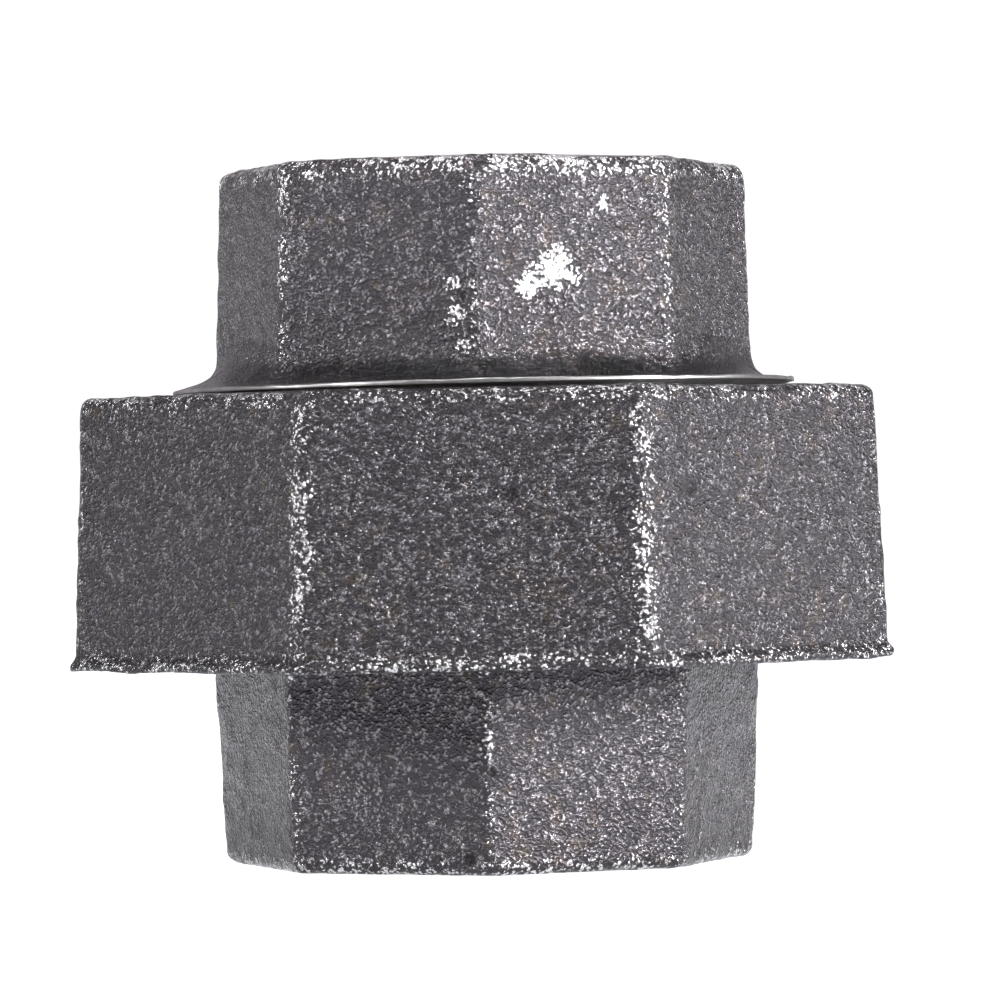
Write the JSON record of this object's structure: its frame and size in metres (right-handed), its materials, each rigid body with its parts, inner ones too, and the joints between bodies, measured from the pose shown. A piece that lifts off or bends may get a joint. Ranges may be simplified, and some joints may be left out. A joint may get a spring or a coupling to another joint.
{
  "type": "pipe union",
  "caption": "Octagonal malleable-iron pipe union: a tail piece and a thread piece with taper pipe threads, drawn together by a union nut onto a brass ground-joint seat.",
  "frame": {"origin": "on the common axis, at the tail piece's flat end face, which the union stands on", "axes": "+Z along the axis of the waterway, from the tail piece up to the thread piece; -Y towards one corner of the tail piece's octagon"},
  "size_m": [0.0678, 0.0678, 0.058],
  "materials": {
    "tail_iron": "sand-cast, black oxide",
    "nut_iron": "sand-cast, black oxide",
    "thread_iron": "sand-cast, black oxide",
    "seat_brass": "machined"
  },
  "bodies": {
    "tail": {"tail_piece": "tail_iron"},
    "nut": {"union_nut": "nut_iron"},
    "seat": {"seat_ring": "seat_brass"},
    "thread_end": {"thread_piece": "thread_iron"}
  },
  "joints": [
    {"name": "nut_swivel", "type": "hinge", "parent": "tail", "child": "nut", "pos_m": [0, 0, 0.03], "axis": [0, 0, 1], "continuous": true},
    {"name": "screw_rise", "type": "slide", "parent": "nut", "child": "seat", "axis": [0, 0, 1], "range_m": [0, 0.0124]},
    {"name": "screw_turn", "type": "hinge", "parent": "seat", "child": "thread_end", "pos_m": [0, 0, 0.03], "axis": [0, 0, 1], "range_deg": [0, 2100]}
  ],
  "couplings": [
    {"joint": "screw_rise", "follows": "screw_turn", "m_per_rad": 0.00033688}
  ]
}
